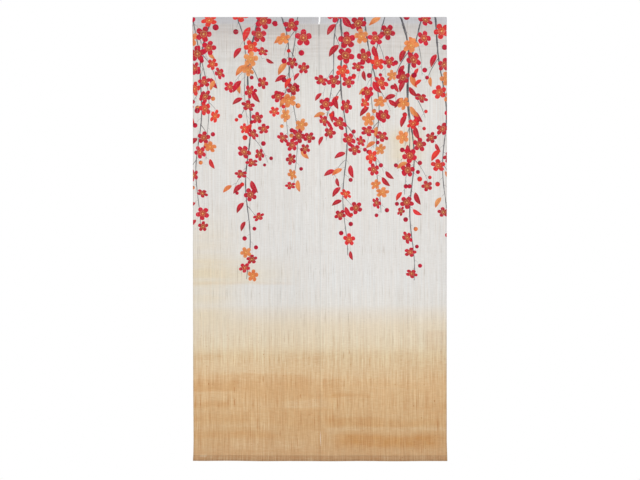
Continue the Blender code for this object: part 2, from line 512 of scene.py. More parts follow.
def across_cloth(reach):
    """From the cloth's own distance from its inner edge, the distance inward from the side edge and the
    distance under the outer layer: straight out, round a half circle and back inward."""
    radius = LAYER / 2
    flat_end = CLOTH_WIDTH - radius
    angle = np.clip((reach - flat_end) / radius, 0, math.pi)
    past = np.maximum(reach - flat_end - math.pi * radius, 0)
    straight = np.minimum(reach, flat_end)
    inward = CLOTH_WIDTH - straight - radius * np.sin(angle) + past
    return inward, radius * (1 - np.cos(angle))


def cloth_columns(spacing):
    """Stations across one cloth width, from its inner edge round the side edge to the hem's turned edge."""
    radius = LAYER / 2
    flat_end = CLOTH_WIDTH - radius
    flat = stations([0, 1.5 * MM, CLOTH_WIDTH - SIDE_HEM, flat_end], spacing)
    turn = flat_end + radius * np.linspace(0, math.pi, TURN_POINTS)
    return np.concatenate([flat, turn[1:], stations([turn[-1], turn[-1] + SIDE_HEM], spacing)[1:]])


def brushed(x, depth, strokes):
    """The sum of brush strokes or patches: each is its strength times smooth steps at its top, its bottom and
    both its sides."""
    total = np.zeros(np.broadcast(x, depth).shape)
    depth = depth + STROKE_WAVE * (np.sin(x / (53 * MM)) + 0.6 * np.sin(x / (19 * MM) + 2))
    x, depth = x / MM, depth / MM
    for left, right, high, low, soft_side, soft_top, soft_bottom, strength in strokes:
        down = smoothstep((depth - high) / soft_top) * (1 - smoothstep((depth - low) / soft_bottom))
        sides = smoothstep((x - left) / soft_side) * (1 - smoothstep((x - right) / soft_side))
        total += strength * down * sides
    return total


def cloth_sheet(name, side, along, material, design, settings):
    """One thin closed sheet of cloth over a grid of stations across and along it: its middle points pushed
    half the thickness each way along the normals, the cross product of the grid's directions, and a rim."""
    reach, length = np.meshgrid(cloth_columns(settings.cell), along)
    inward, under = across_cloth(reach)
    middle = place(side, inward, under, length)
    normal = np.cross(np.gradient(middle, axis=1), np.gradient(middle, axis=0))
    normal *= settings.thickness / 2 / np.linalg.norm(normal, axis=-1, keepdims=True)
    count = length.size
    points = np.concatenate([(middle - SIDES[side] * way * normal).reshape(-1, 3) for way in (1, -1)])

    at = np.arange(count).reshape(length.shape)
    cells = np.stack([at[:-1, :-1], at[:-1, 1:], at[1:, 1:], at[1:, :-1]], -1).reshape(-1, 4)
    edge = np.concatenate([at[0, :-1], at[:-1, -1], at[-1, :0:-1], at[:0:-1, 0]])
    following = np.roll(edge, -1)
    rim = np.stack([following, edge, edge + count, following + count], -1)
    if side == "right":
        cells, rim = cells[:, ::-1], rim[:, ::-1]
    faces = np.concatenate([cells, cells[:, ::-1] + count, rim])

    x = SIDES[side] * reach
    flat = np.stack([x, length], -1).reshape(-1, 2)
    blank = np.tile((0.0, EMPTY, -EMPTY), (len(rim), 4, 1))
    corners = {}
    for title, local in painted_layers(flat, cells, design):
        corners[title] = np.concatenate([local, local[:, ::-1], blank])
    brush = np.stack([brushed(x, length, STROKES), brushed(x, length, CLOUDS), x * 0], -1)
    values = {
        "cloth": np.stack([np.stack([x, length, x * 0 + back], -1) for back in (0, 1)]),
        "brush": np.stack([brush, brush]),
    }
    return add_mesh(name, points, [faces], material, corners, values)


# The painted design


def between(draw, low, high):
    """A random number from low to high."""
    return low + (high - low) * draw.random()


def twig_line(start, lean, bend, run, half_width, phase):
    """A twig's line as rows of (x, length, run, half width in mm). Its heading, from straight down, is the
    lean dying away as exp(-run / bend) and a slow sine; the line is the heading's running sum and tapers."""
    along = np.arange(0, run + TWIG_STEP, TWIG_STEP)
    heading = lean * np.exp(-along / bend) + TWIG_SWAY * np.sin(along / (61 * MM) + phase)
    step = TWIG_STEP * np.stack([np.sin(heading), np.cos(heading)], 1)
    line = start + np.cumsum(step, axis=0) - step[0]
    taper = 1 - TWIG_TAPER * (along / run) ** 0.8
    width = half_width * taper * (1 + 0.16 * np.sin(along / (11 * MM) + phase))
    return np.column_stack([line, along, width])


def heading_at(twig, number):
    """A twig's heading, from straight down, at one of its rows."""
    low = max(number - 1, 0)
    return math.atan2(*(twig[low + 1, :2] - twig[low, :2]))


def dress(twig, design, draw, first, size):
    """Blossoms, leaves and buds on short stems, turn about on the two sides of a twig, smaller and more often
    buds towards its tip. A blossom that would hide one already there is left out, and the seam's top is kept
    clear."""
    run, total = first, twig[-1, 2]
    way = draw.choice([-1, 1])
    while run < total:
        share = run / total
        small = 1 - 0.30 * share
        number = min(int(run / TWIG_STEP), len(twig) - 2)
        way = -way
        stem = between(draw, 0.35, 1.0) * size * (1 - 0.45 * share)
        lean = heading_at(twig, number) + way * between(draw, 0.75, 1.25)
        choice = draw.random()
        kind = LEAF if choice < 0.90 - 0.22 * share else BUD
        kind = BLOSSOM if choice < 0.74 - 0.30 * share else kind
        radius = REACH[kind] * size * small * between(draw, 0.86, 1.10)
        line = twig_line(twig[number, :2], lean, STEM_BEND, stem, STEM_HALF_WIDTH, draw.random() * 6)
        end = heading_at(line, len(line) - 1)
        ahead = np.array([math.sin(end), math.cos(end)])
        if kind == BLOSSOM:
            middle = line[-1, :2] + ahead * radius * 0.2
            turn, squash = draw.random() * math.tau, between(draw, 0.66, 1.0)
        else:
            middle = line[-1, :2] + ahead * radius * 0.9
            turn, squash = math.pi / 2 - end + between(draw, -0.25, 0.25), 1
        hue = draw.choice(HUES, p=HUE_SHARES) + between(draw, -HUE_SPREAD / 2, HUE_SPREAD / 2)
        row = (*middle, radius, turn, kind, np.clip(hue, 0, 1), draw.random(), draw.random() * 50, squash)
        near = [other for other in design["motifs"] if other[4] == kind == BLOSSOM]
        apart = [math.dist(middle, other[:2]) / (radius + other[2]) for other in near]
        clear = abs(middle[0]) > SEAM_CLEAR + radius or middle[1] > SEAM_CLEAR_DEPTH + radius
        if min(apart, default=1) > 0.74 and clear:
            design["motifs"].append(row)
            design["twigs"].append(line)
        run += size * between(draw, 0.80, 1.42) * small


def weeping_design():
    """The painted design on the flat cloth: weeping twigs with side shoots, all in blossom. Its twigs are
    arrays of lines. Its motifs are rows of (x, length, radius, turn, kind, hue, light, seed, squash), the
    last on top."""
    draw = np.random.default_rng(DESIGN_SEED)
    design = {"twigs": [], "motifs": []}
    for x, lean, run, half_width in STRANDS:
        start = np.array([x * MM, PAINT_TOP])
        main = twig_line(start, math.radians(lean), TWIG_BEND, run * MM, half_width, draw.random() * 6)
        design["twigs"].append(main)
        way = draw.choice([-1, 1])
        for share in np.arange(between(draw, 0.16, 0.26), 0.80, SHOOT_EVERY / (run * MM)):
            number = int(share * (len(main) - 1))
            way = -way
            lean_out = heading_at(main, number) + way * between(draw, 0.55, 0.90)
            length = between(draw, *SHOOT_LENGTHS) * (1 - 0.4 * share)
            half = main[number, 3] * 0.6
            shoot = twig_line(main[number, :2], lean_out, SHOOT_BEND, length, half, draw.random() * 6)
            design["twigs"].append(shoot)
            dress(shoot, design, draw, SHOOT_FIRST, SHOOT_MOTIF)
        dress(main, design, draw, TWIG_FIRST, TWIG_MOTIF)
    order = {LEAF: 0, BUD: 1, BLOSSOM: 2}
    design["motifs"] = np.array(sorted(design["motifs"], key=lambda row: order[row[4]]))
    return design


def motif_layers(spot, middle, half, motifs):
    """For each motif layer, vectors at the corners of the grid's cells: the place in the motif's own frame,
    where it reaches to 1, with its kind, and a second vector of hue, light and seed. The topmost motifs that
    reach a cell take its highest layers."""
    shown = np.full((MOTIF_LAYERS, len(spot)), -1)
    free = np.full(len(spot), MOTIF_LAYERS - 1)
    for number in range(len(motifs) - 1, -1, -1):
        x, length, radius = motifs[number, :3]
        near = np.hypot(middle[:, 0] - x, middle[:, 1] - length) < radius * 1.06 + half
        near = np.flatnonzero(near & (free >= 0))
        shown[free[near], near] = number
        free[near] -= 1
    for layer, chosen in enumerate(shown):
        row = motifs[chosen]
        offset = (spot - row[:, None, :2]) / row[:, None, 2:3]
        cosine, sine = np.cos(row[:, 3:4]), np.sin(row[:, 3:4])
        u = offset[..., 0] * cosine + offset[..., 1] * sine
        v = (offset[..., 1] * cosine - offset[..., 0] * sine) / row[:, 8:9]
        local = np.stack([u, v, np.broadcast_to(row[:, 4:5], u.shape)], -1)
        tone = np.broadcast_to(row[:, None, 5:8], local.shape).copy()
        local[chosen < 0] = (0.0, EMPTY, -EMPTY)
        tone[chosen < 0] = 0
        yield f"motif_{layer}", local
        yield f"tone_{layer}", tone


def twig_layers(spot, middle, half, twigs):
    """For each twig layer, vectors at the corners of the grid's cells: the run along the twig, the distance
    to its middle line and its half width, in mm."""
    lines = [np.tile((0.0, EMPTY, -EMPTY), (len(spot), 4, 1)) for _ in range(TWIG_LAYERS)]
    free = np.full(len(spot), TWIG_LAYERS - 1)
    for line in twigs:
        low, high = line[:, :2].min(0) - 8 * MM, line[:, :2].max(0) + 8 * MM
        near = np.flatnonzero(((middle > low) & (middle < high)).all(1) & (free >= 0))
        distance = np.linalg.norm(middle[near, None] - line[None, :, :2], axis=-1).min(1)
        near = near[distance < line[:, 3].max() * MM + half + TWIG_STEP / 2 + 1 * MM]
        corner = spot[near].reshape(-1, 2)
        nearest = np.linalg.norm(corner[:, None] - line[None, :, :2], axis=-1).argmin(1)
        ahead = np.gradient(line[:, :2], axis=0)
        ahead /= np.linalg.norm(ahead, axis=1, keepdims=True)
        offset = corner - line[nearest, :2]
        aside = offset[:, 0] * ahead[nearest, 1] - offset[:, 1] * ahead[nearest, 0]
        run = line[nearest, 2] + (offset * ahead[nearest]).sum(1)
        beyond = np.maximum(run - line[-1, 2], -run).clip(0)
        width = np.interp(run, line[:, 2], line[:, 3]) - beyond / MM
        local = np.stack([run / MM, aside / MM, width], -1).reshape(-1, 4, 3)
        for layer in range(TWIG_LAYERS):
            here = free[near] == layer
            lines[layer][near[here]] = local[here]
        free[near] -= 1
    for layer, local in enumerate(lines):
        yield f"twig_{layer}", local


def painted_layers(flat, cells, design):
    """All paint layers of a grid. Each corner's place in a motif or twig is exact, so lines stay sharp
    however wide the cells are."""
    spot = flat[cells]
    middle = spot.mean(axis=1)
    half = np.linalg.norm(spot - middle[:, None], axis=-1).max()
    yield from motif_layers(spot, middle, half, design["motifs"])
    yield from twig_layers(spot, middle, half, design["twigs"])


# Materials


def arithmetic(operation, swapped=False):
    """A method of Number that adds a Math node, with its two values swapped for the reflected forms."""

    def method(self, *other):
        values = (self, *other)
        return self.recipe.math(operation, *(values[::-1] if swapped else values))

    return method


class Number:
    """A number that a material's nodes work out. Plain arithmetic on it adds Math nodes."""

    def __init__(self, recipe, socket):
        self.recipe = recipe
        self.socket = socket

    __add__ = arithmetic("ADD")
    __radd__ = arithmetic("ADD", swapped=True)
    __sub__ = arithmetic("SUBTRACT")
    __rsub__ = arithmetic("SUBTRACT", swapped=True)
    __mul__ = arithmetic("MULTIPLY")
    __rmul__ = arithmetic("MULTIPLY", swapped=True)
    __truediv__ = arithmetic("DIVIDE")
    __pow__ = arithmetic("POWER")
    __abs__ = arithmetic("ABSOLUTE")


class Recipe:
    """A node tree in the making. Each method adds nodes and gives what comes out of them."""

    def __init__(self, tree):
        self.tree = tree

    def put(self, socket, value):
        if isinstance(value, Number):
            value = value.socket
        if isinstance(value, bpy.types.NodeSocket):
            self.tree.links.new(value, socket)
        else:
            socket.default_value = value

    def node(self, kind, inputs, **settings):
        made = self.tree.nodes.new("ShaderNode" + kind)
        for name, value in settings.items():
            setattr(made, name, value)
        for name, value in inputs.items():
            self.put(made.inputs[name], value)
        return made

    def math(self, operation, *values):
        made = self.node("Math", dict(enumerate(values)), operation=operation)
        return Number(self, made.outputs[0])

    def parts(self, vector):
        made = self.node("SeparateXYZ", {0: vector})
        return [Number(self, socket) for socket in made.outputs]

    def attribute(self, title):
        return self.node("Attribute", {}, attribute_name=title).outputs["Vector"]

    def mix(self, share, first, second, blend="MIX"):
        made = self.node("Mix", {0: share, 6: first, 7: second}, data_type="RGBA", blend_type=blend)
        return made.outputs[2]

    def ramp(self, value, stops):
        made = self.node("ValToRGB", {0: value})
        elements = made.color_ramp.elements
        elements.remove(elements[1])
        elements[0].position, elements[0].color = stops[0]
        for position, shade in stops[1:]:
            elements.new(position).color = shade
        return made.outputs["Color"]


def off_middle(value):
    """How far the value's fraction is from a half: a wave of period 1 between 0 and 0.5."""
    return abs(value.recipe.math("FRACT", value) - 0.5)


def greater(first, second):
    return first.recipe.math("MAXIMUM", first, second)


def clamped(value):
    """The value kept between 0 and 1."""
    return value.recipe.math("MINIMUM", greater(value, 0.0), 1.0)


def sine(value):
    return value.recipe.math("SINE", value)


def length_of(u, v):
    """The length of a flat vector."""
    return u.recipe.math("SQRT", u * u + v * v)


def rise(value, low, high):
    """0 below low, 1 above high and the smooth cubic between them."""
    inputs = {"Value": value, "From Min": low, "From Max": high}
    made = value.recipe.node("MapRange", inputs, interpolation_type="SMOOTHSTEP", clamp=True)
    return Number(value.recipe, made.outputs["Result"])


def fall(value, low, high):
    """1 below low, 0 above high and the smooth cubic between them."""
    return 1 - rise(value, low, high)


def noise(x, y, seed=0.0, octaves=2.0, roughness=0.5):
    """Even noise about 0, mostly within -0.5 and 0.5, at one wave to the unit."""
    vector = x.recipe.node("CombineXYZ", {0: x, 1: y, 2: seed}).outputs[0]
    inputs = {"Vector": vector, "Scale": 1.0, "Detail": octaves, "Roughness": roughness}
    made = x.recipe.node("TexNoise", inputs, noise_dimensions="3D")
    return Number(x.recipe, made.outputs[0]) - 0.5


def on_cloth(x, length, title):
    """One of the cloth's noises."""
    across, along, seed, octaves, roughness = NOISES[title]
    return noise(x / (across * MM), length / (along * MM), seed, octaves, roughness)


def tinted(base, red, green, blue):
    """A colour times a factor for each of its channels."""
    factors = red.recipe.node("CombineXYZ", {0: red, 1: green, 2: blue}).outputs[0]
    return red.recipe.mix(1.0, base, factors, "MULTIPLY")


def new_group(title, inputs):
    """The recipe and the two end nodes of a new group that turns vectors into a colour and its cover."""
    tree = bpy.data.node_groups.new(title, "ShaderNodeTree")
    for name in inputs:
        tree.interface.new_socket(name, in_out="INPUT", socket_type="NodeSocketVector")
    tree.interface.new_socket("Colour", in_out="OUTPUT", socket_type="NodeSocketColor")
    tree.interface.new_socket("Cover", in_out="OUTPUT", socket_type="NodeSocketFloat")
    return Recipe(tree), tree.nodes.new("NodeGroupInput"), tree.nodes.new("NodeGroupOutput")


def blossom(u, v, radius, seed):
    """A blossom's cover, share of light paint, veins and stamens. Its edge is 1 minus a power of the angle
    from the petal's middle. Veins run out from the heart, and stamens are thin rays with dots as ends."""
    angle = u.recipe.math("ARCTAN2", v, u)
    petal = off_middle(angle * (PETALS / math.tau) + 0.5)
    edge = 0.98 - 0.50 * (petal * 2) ** 2.5 + 0.14 * noise(u * 2 + seed, v * 2, seed)
    seam = fall((0.5 - petal) * radius * (math.tau / PETALS), 0.006, 0.040)
    share = 0.34 + 0.48 * rise(radius, 0.10, 0.86) - 0.30 * seam
    vein = off_middle(petal * (VEINS / PETALS) + 0.5) * radius * (math.tau / VEINS)
    veins = fall(vein, 0.006, 0.020) * rise(radius, 0.24, 0.40)
    veins = veins * rise(edge - radius, 0.10, 0.34)
    stamen = off_middle(angle * (STAMENS / math.tau) + 0.25) * radius * (math.tau / STAMENS)
    reach = radius - 0.36 - 0.16 * noise(angle * 3, seed, seed)
    anther = fall(length_of(stamen, reach), 0.020, 0.038)
    ray = fall(stamen, 0.003, 0.012) * fall(reach, -0.04, 0.0)
    heart = fall(radius, 0.05, 0.09)
    stamens = greater(greater(anther, ray * 0.75), heart)
    return rise(edge - radius, 0.0, 0.045), share, veins, stamens


def leaf(u, v, seed):
    """A leaf's cover, share of light paint and ribs: a bent oval whose half width is a power of 1 minus u
    squared, narrower towards its tip, with a middle rib and slanting side ribs."""
    bent = v - 0.16 * (1 - u * u)
    half = 0.40 * greater(1 - u * u, 0.0) ** 0.75 * (1 - 0.26 * u)
    share = 0.55 - 0.55 * rise(u, 0.1, 1.0) + 0.22 * rise(bent, -0.03, 0.03)
    side_rib = off_middle(u * 3.2 - abs(bent) * 2.6 + seed)
    ribs = greater(fall(abs(bent), 0.008, 0.030), fall(side_rib, 0.02, 0.09) * 0.6)
    return rise(half - abs(bent), 0.0, 0.045), share, ribs


def motif_group():
    """One painted motif in its own frame: a blossom, a leaf, or a bud, which is a disc in its calyx."""
    recipe, entry, leave = new_group("painted motif", ["Local", "Tone"])
    u, v, kind = recipe.parts(entry.outputs["Local"])
    hue, light, seed = recipe.parts(entry.outputs["Tone"])
    radius = length_of(u, v)
    cloudy = noise(u * 1.3 + seed, v * 1.3, seed, 3.0)
    is_blossom = fall(kind, 0.4, 0.6)
    is_leaf = rise(kind, 0.4, 0.6) * fall(kind, 1.4, 1.6)
    is_bud = rise(kind, 1.4, 1.6) * fall(kind, 2.4, 2.6)

    petals, petal_share, veins, stamens = blossom(u, v, radius, seed)
    oval, leaf_share, ribs = leaf(u, v, seed)
    bud = fall(radius - 0.06 * u, 0.74, 0.84)
    calyx = fall(u + 0.5 * abs(v), -0.50, -0.36) * is_bud

    share = petal_share * is_blossom + leaf_share * is_leaf + (0.5 - 0.4 * v) * is_bud
    share = share + 1.5 * cloudy + 0.36 * (light - 0.5) - 0.30 * rise(hue, 0.60, 0.80)
    paint = recipe.mix(clamped(share), recipe.ramp(hue, DEEP_PAINTS), recipe.ramp(hue, LIGHT_PAINTS))
    lines = greater(veins * is_blossom * 0.55, ribs * is_leaf * 0.65)
    paint = recipe.mix(lines, paint, VEIN_PAINT)
    paint = recipe.mix(stamens * is_blossom, paint, STAMEN_PAINT)
    paint = recipe.mix(calyx, paint, CALYX_PAINT)
    recipe.put(leave.inputs["Colour"], paint)
    recipe.put(leave.inputs["Cover"], petals * is_blossom + oval * is_leaf + bud * is_bud)


def twig_group():
    """One painted twig: full cover within its half width, with rough edges and dry stretches from noise."""
    recipe, entry, leave = new_group("painted twig", ["Local"])
    run, aside, half = recipe.parts(entry.outputs["Local"])
    rough = noise(run / 7, aside / 3, 0.0, 3.0)
    dry = noise(run / 16, aside / 1.6, 5.0)
    inside = half * (1 + 0.8 * rough) - abs(aside)
    cover = rise(inside, -0.35, 0.30) * (0.94 - 0.5 * rise(dry, 0.04, 0.22))
    light = rise(aside / greater(half, 0.3) + 2.4 * rough, -0.9, 1.3)
    recipe.put(leave.inputs["Colour"], recipe.mix(light, TWIG_DARK, TWIG_LIGHT))
    recipe.put(leave.inputs["Cover"], cover)


def dyed_and_shaded_ground(recipe, x, length, dyed):
    """The dye: a ramp down the cloth whose edges drift a little and whose top holds painted shade and a
    painted lit band at the sleeve, golden patches, and strokes of darker or lighter dye, broken up by a
    mottle."""
    strokes, clouds, _ = recipe.parts(recipe.attribute("brush"))
    depth = abs(length - SLEEVE_TOP) + SLEEVE_TOP
    drift = DYE_DRIFT * on_cloth(x, length, "dye drift")
    drift = drift + DYE_FRINGE * on_cloth(x, length, "dye fringe")
    settled = rise(length, 100 * MM, 300 * MM)
    span = GROUND_TO - GROUND_FROM
    stops = [((at * MM - GROUND_FROM) / span, shade) for at, shade in GROUND_DYE_AND_SHADE]
    # The stops down to 190 mm paint the sleeve's shade and a lit band at its round top into the ground
    # colour.
    ground = recipe.ramp((depth + drift * settled - GROUND_FROM) / span, stops)
    smoky = 0.9 + 1.3 * on_cloth(x, length, "clouds")
    ground = recipe.mix(clamped(clouds * smoky), ground, GOLDEN)
    stroke = strokes * (0.85 + 1.4 * on_cloth(x, length, "brush"))
    stroke = stroke + dyed * 0.75 * on_cloth(x, length, "mottle")
    ground = recipe.mix(clamped(stroke * 0.55), ground, STROKE_DARK)
    return recipe.mix(clamped(stroke * -1.0), ground, STROKE_LIGHT)


def painted(recipe, ground, group, titles, x, length, back):
    """A painted layer laid over the ground, thinner on the threads' crowns and paler on the cloth's back.

    The group is made before its attributes. In the other order the shader outgrows the render engine's stack
    and the cloth turns black."""
    node = recipe.node("Group", {}, node_tree=bpy.data.node_groups[group])
    for socket, title in titles.items():
        recipe.put(node.inputs[socket], recipe.attribute(title))
    grain = on_cloth(x, length, "paint grain")
    cover = Number(recipe, node.outputs["Cover"]) * (0.99 + 0.24 * grain) * (1 - 0.45 * back)
    return recipe.mix(clamped(cover), ground, node.outputs["Colour"])


def knots(x, length):
    """Knots in the yarn: spots of a noise, and the marked ones, each an oval that fades to its edge."""
    total = rise(on_cloth(x, length, "knots"), 0.31, 0.37)
    for at, down, half_width, half_length, strength in (MARKS * (MM, MM, MM, MM, 1)).tolist():
        u = x.recipe.math("MULTIPLY_ADD", x, 1 / half_width, -at / half_width)
        v = x.recipe.math("MULTIPLY_ADD", length, 1 / half_length, -down / half_length)
        total = total + strength * fall(u * u + v * v, 0.2, 1.0)
    return total


def painted_light_and_shade(x, length, dyed):
    """Painted shade and painted light, as a factor on the cloth's colour. Painted shade darkens the seam, the
    hem's turned edge, the bottom fold and the side edges, where seams and doubled cloth hold shade and let
    less light through; painted light lifts the doubled side hem. The left panel's undyed part is darker, and
    the right panel's top lighter.
    """
    # Painted shade in the seam between the widths: strongest in the sewn sleeves, weaker down the seam,
    # weaker still along the slit.
    seam = fall(abs(x), 1.2 * MM, 3.6 * MM) * rise(length, GAP_END - 1 * MM, GAP_END + 2 * MM)
    seam = seam * (1 - 0.55 * rise(length, STRIP_DEPTH - 3 * MM, LAP_FROM))
    seam = seam * (1 - 0.6 * rise(length, SEAM_END - 20 * MM, SEAM_END + 10 * MM))
    side = abs(x) - (CLOTH_WIDTH - SIDE_HEM)
    edge = fall(abs(side - SIDE_HEM), 2 * MM, 5 * MM)
    # Painted shade at the seam, the hem's turned edge, the bottom fold, the side edges and the side hem's
    # edge line; painted light over the side hem; then darker on the left and lighter at the top right.
    factors = [
        (-0.30, seam),
        (-0.12, fall(abs(length - HEIGHT + BOTTOM_HEM), 0.4 * MM, 2.2 * MM)),
        (-0.16, fall(abs(length - HEIGHT), 3 * MM, 9 * MM)),
        (-0.10, edge * (1 + 0.8 * dyed)),
        (0.045, rise(side, -1 * MM, 1 * MM)),
        (-0.03, fall(abs(side), 0.5 * MM, 2.6 * MM)),
        (-0.035, rise(x, 30 * MM, -100 * MM) * (1 - dyed)),
        (0.035, rise(x, -50 * MM, 60 * MM) * fall(length, 50 * MM, 130 * MM)),
    ]
    return math.prod(1 + strength * part for strength, part in factors)


def empty_material(name):
    """A material without nodes and its recipe."""
    made = bpy.data.materials.new(name)
    made.use_nodes = True
    made.node_tree.nodes.clear()
    return made, Recipe(made.node_tree)


def hemp_material(name):
    """Hand-loomed hemp: the dyed ground with painted shade at its top, the painted layers over it, the slubs
    and streaks of the weave, painted shade and light at what is sewn and on the bottom hem, a bump of
    crossing threads, and part of the light let through."""
    made, recipe = empty_material(name)
    x, length, back = recipe.parts(recipe.attribute("cloth"))
    dyed = rise(length, 1000 * MM, 1200 * MM)
    # The dyed ground, which holds painted shade at the sleeve.
    ground = dyed_and_shaded_ground(recipe, x, length, dyed)
    for layer in range(TWIG_LAYERS):
        ground = painted(recipe, ground, "painted twig", {"Local": f"twig_{layer}"}, x, length, back)
    for layer in range(MOTIF_LAYERS):
        titles = {"Local": f"motif_{layer}", "Tone": f"tone_{layer}"}
        ground = painted(recipe, ground, "painted motif", titles, x, length, back)

    broad = on_cloth(x, length, "broad streaks")
    fine = on_cloth(x, length, "fine streaks")
    weft = on_cloth(x, length, "weft grain")
    rows = on_cloth(x, length, "weft rows") * fall(length, 100 * MM, 240 * MM)
    dark_slub = rise(on_cloth(x, length, "dark slubs"), 0.20, 0.32) * (1 - 0.50 * dyed)
    pale_slub = rise(on_cloth(x, length, "pale slubs"), 0.20, 0.30)
    knot = knots(x, length)
    slub = (0.41 - 0.11 * dyed) * broad + (0.20 + 0.12 * dyed) * fine + 0.19 * weft + 0.26 * rows
    slub = slub - 0.27 * dark_slub + 0.06 * pale_slub - 0.24 * knot
    hem = rise(length, HEIGHT - BOTTOM_HEM - 1 * MM, HEIGHT - BOTTOM_HEM + 1 * MM)
    slub = slub * (1 + 0.5 * hem)
    ground = tinted(ground, *(1 + slub * (share + dyed * more) for share, more in SLUB_SHARES))
    # Painted shade and light from the seam, the hems and the edges, laid onto the colour below.
    shade = painted_light_and_shade(x, length, dyed)
    tint = on_cloth(x, length, "tint")
    cloth = tinted(ground, shade, shade, shade)
    cloth = tinted(cloth, 1 + 0.05 * tint, 1 - 0.01 * tint, 1 - 0.06 * tint)
    # Painted shade on the doubled bottom hem
    cloth = recipe.mix(hem, cloth, HEM_PAINTED_SHADE, "MULTIPLY")

    warp_wave = sine(x * (math.pi / THREAD_PITCH))
    weft_wave = sine(length * (math.pi / THREAD_PITCH))
    over = 0.5 + 0.5 * warp_wave * weft_wave
    weave = over * abs(warp_wave) + (1 - over) * abs(weft_wave)
    height = weave + 1.2 * broad + 0.9 * fine + 0.7 * dark_slub + 1.2 * knot
    bump = recipe.node("Bump", {"Strength": 0.5, "Distance": 0.12 * MM, "Height": height}).outputs[0]
    inputs = {"Base Color": cloth, "Roughness": 0.88, "Specular IOR Level": 0.25, "Sheen Weight": 0.08}
    body = recipe.node("BsdfPrincipled", {**inputs, "Normal": bump})
    through = recipe.node("BsdfTranslucent", {"Color": cloth, "Normal": bump})
    both = recipe.node("MixShader", {0: 0.22, 1: body.outputs[0], 2: through.outputs[0]})
    recipe.node("OutputMaterial", {"Surface": both.outputs[0]})
    return made


def thread_material(name):
    """Sewing thread: undyed above and tan below, by height, with a twist in its bump."""
    made, recipe = empty_material(name)
    x, _, z = recipe.parts(recipe.node("TexCoord", {}).outputs["Object"])
    tone = recipe.mix(rise(z, -980 * MM, -1220 * MM), THREAD_PALE, THREAD_TAN)
    uneven = 1 + 0.25 * noise(x / (10 * MM), z / (10 * MM), 1.0)
    tone = tinted(tone, uneven, uneven, uneven)
    twist = sine((x + z) * (math.tau / (0.7 * MM)))
    bump = recipe.node("Bump", {"Strength": 0.4, "Distance": 0.08 * MM, "Height": twist}).outputs[0]
    body = recipe.node("BsdfPrincipled", {"Base Color": tone, "Roughness": 0.7, "Normal": bump})
    recipe.node("OutputMaterial", {"Surface": body.outputs[0]})
    return made


def hemp():
    """The painted hemp, made with the groups that it needs if it isn't there yet."""
    for title, make in (("painted motif", motif_group), ("painted twig", twig_group)):
        if title not in bpy.data.node_groups:
            make()
    return bpy.data.materials.get("dyed hemp") or hemp_material("dyed hemp")


def thread():
    """The sewing thread, made if it isn't there yet."""
    return bpy.data.materials.get("sewing thread") or thread_material("sewing thread")


# Stitching

STITCH_RINGS = np.array([-0.46, -0.30, 0.0, 0.30, 0.46])
STITCH_SIDES = 6
STITCH_PITCH = 1.25


def stitch_mesh(name, centres, surface, settings, material):
    """Rows of stitches. Each is a small spindle: rings of points round its middle line, which dips into the
    cloth at both ends, closed by a point at each end. The surface function turns (stitch, shift along the
    row, shift beside it, height above the cloth) into places."""
    ring = STITCH_RINGS[None, :, None]
    around = np.arange(STITCH_SIDES)[None, None, :] * (math.tau / STITCH_SIDES)
    girth = settings.thread_radius * (1 - (2 * ring) ** 4) ** 0.5
    arch = settings.thread_radius * (0.9 - 2.6 * (2 * ring) ** 4)
    at = np.arange(len(centres))[:, None, None]
    run = ring * settings.stitch_length + 0 * around
    body = surface(centres[at], run, girth * np.cos(around), arch + girth * np.sin(around))
    ends = np.array([-0.5, 0.5])[None, :, None] * settings.stitch_length
    tips = surface(centres[at], ends, 0.0, -settings.thread_radius * 1.9)
    points = np.concatenate([body.reshape(-1, 3), tips.reshape(-1, 3)])

    count, rings = len(centres), len(STITCH_RINGS)
    number = np.arange(count * rings * STITCH_SIDES).reshape(count, rings, STITCH_SIDES)
    onward = np.roll(number, -1, 2)
    quads = np.stack([number[:, :-1], number[:, 1:], onward[:, 1:], onward[:, :-1]], -1).reshape(-1, 4)
    tip = number.size + np.arange(count * 2).reshape(count, 2, 1) + 0 * number[:, :1]
    first = np.stack([number[:, 0], onward[:, 0], tip[:, 0]], -1).reshape(-1, 3)
    last = np.stack([onward[:, -1], number[:, -1], tip[:, 1]], -1).reshape(-1, 3)
    faces = [quads, np.concatenate([first, last])]
    if outward(points, quads, body) < 0:
        faces = [kind[:, ::-1] for kind in faces]
    return add_mesh(name, points, faces, material, sharp=math.pi)


def outward(points, quads, body):
    """How far the first stitch's first side faces away from the stitch's middle."""
    corners = points[quads[0]]
    normal = np.cross(corners[2] - corners[0], corners[3] - corners[1])
    return float(normal @ (corners.mean(0) - body[0].reshape(-1, 3).mean(0)))


def stitch_row(side, row, settings):
    """The middles of one row's stitches and its surface function. A row is (direction, fixed place, from, to,
    distance under the outer layer, facing): rows across have a fixed length and run inward, rows down have a
    fixed place inward and run along the length."""
    direction, fixed, start, end, under, way = row
    pitch = settings.stitch_length * STITCH_PITCH
    centres = np.arange(start + pitch / 2, end - pitch / 2, pitch)

    def across(middle, run, beside, height):
        return place(side, middle + run, under - way * height, fixed + beside)

    def down(middle, run, beside, height):
        return place(side, fixed + beside, under - way * height, middle + run)

    return centres, across if direction == "across" else down


# Settings, stage and operators

FLOOR_RADIUS = 3.2
FLOOR_Z = -2.06
FLOOR_POINTS = 96
LIGHT_SIZE = 2.6
KEY_AT = (-2.4, -3.4, 1.6)
BACK_AT = (1.8, 3.2, 1.0)
LIGHTS_AIM = (0, 0, -0.75)


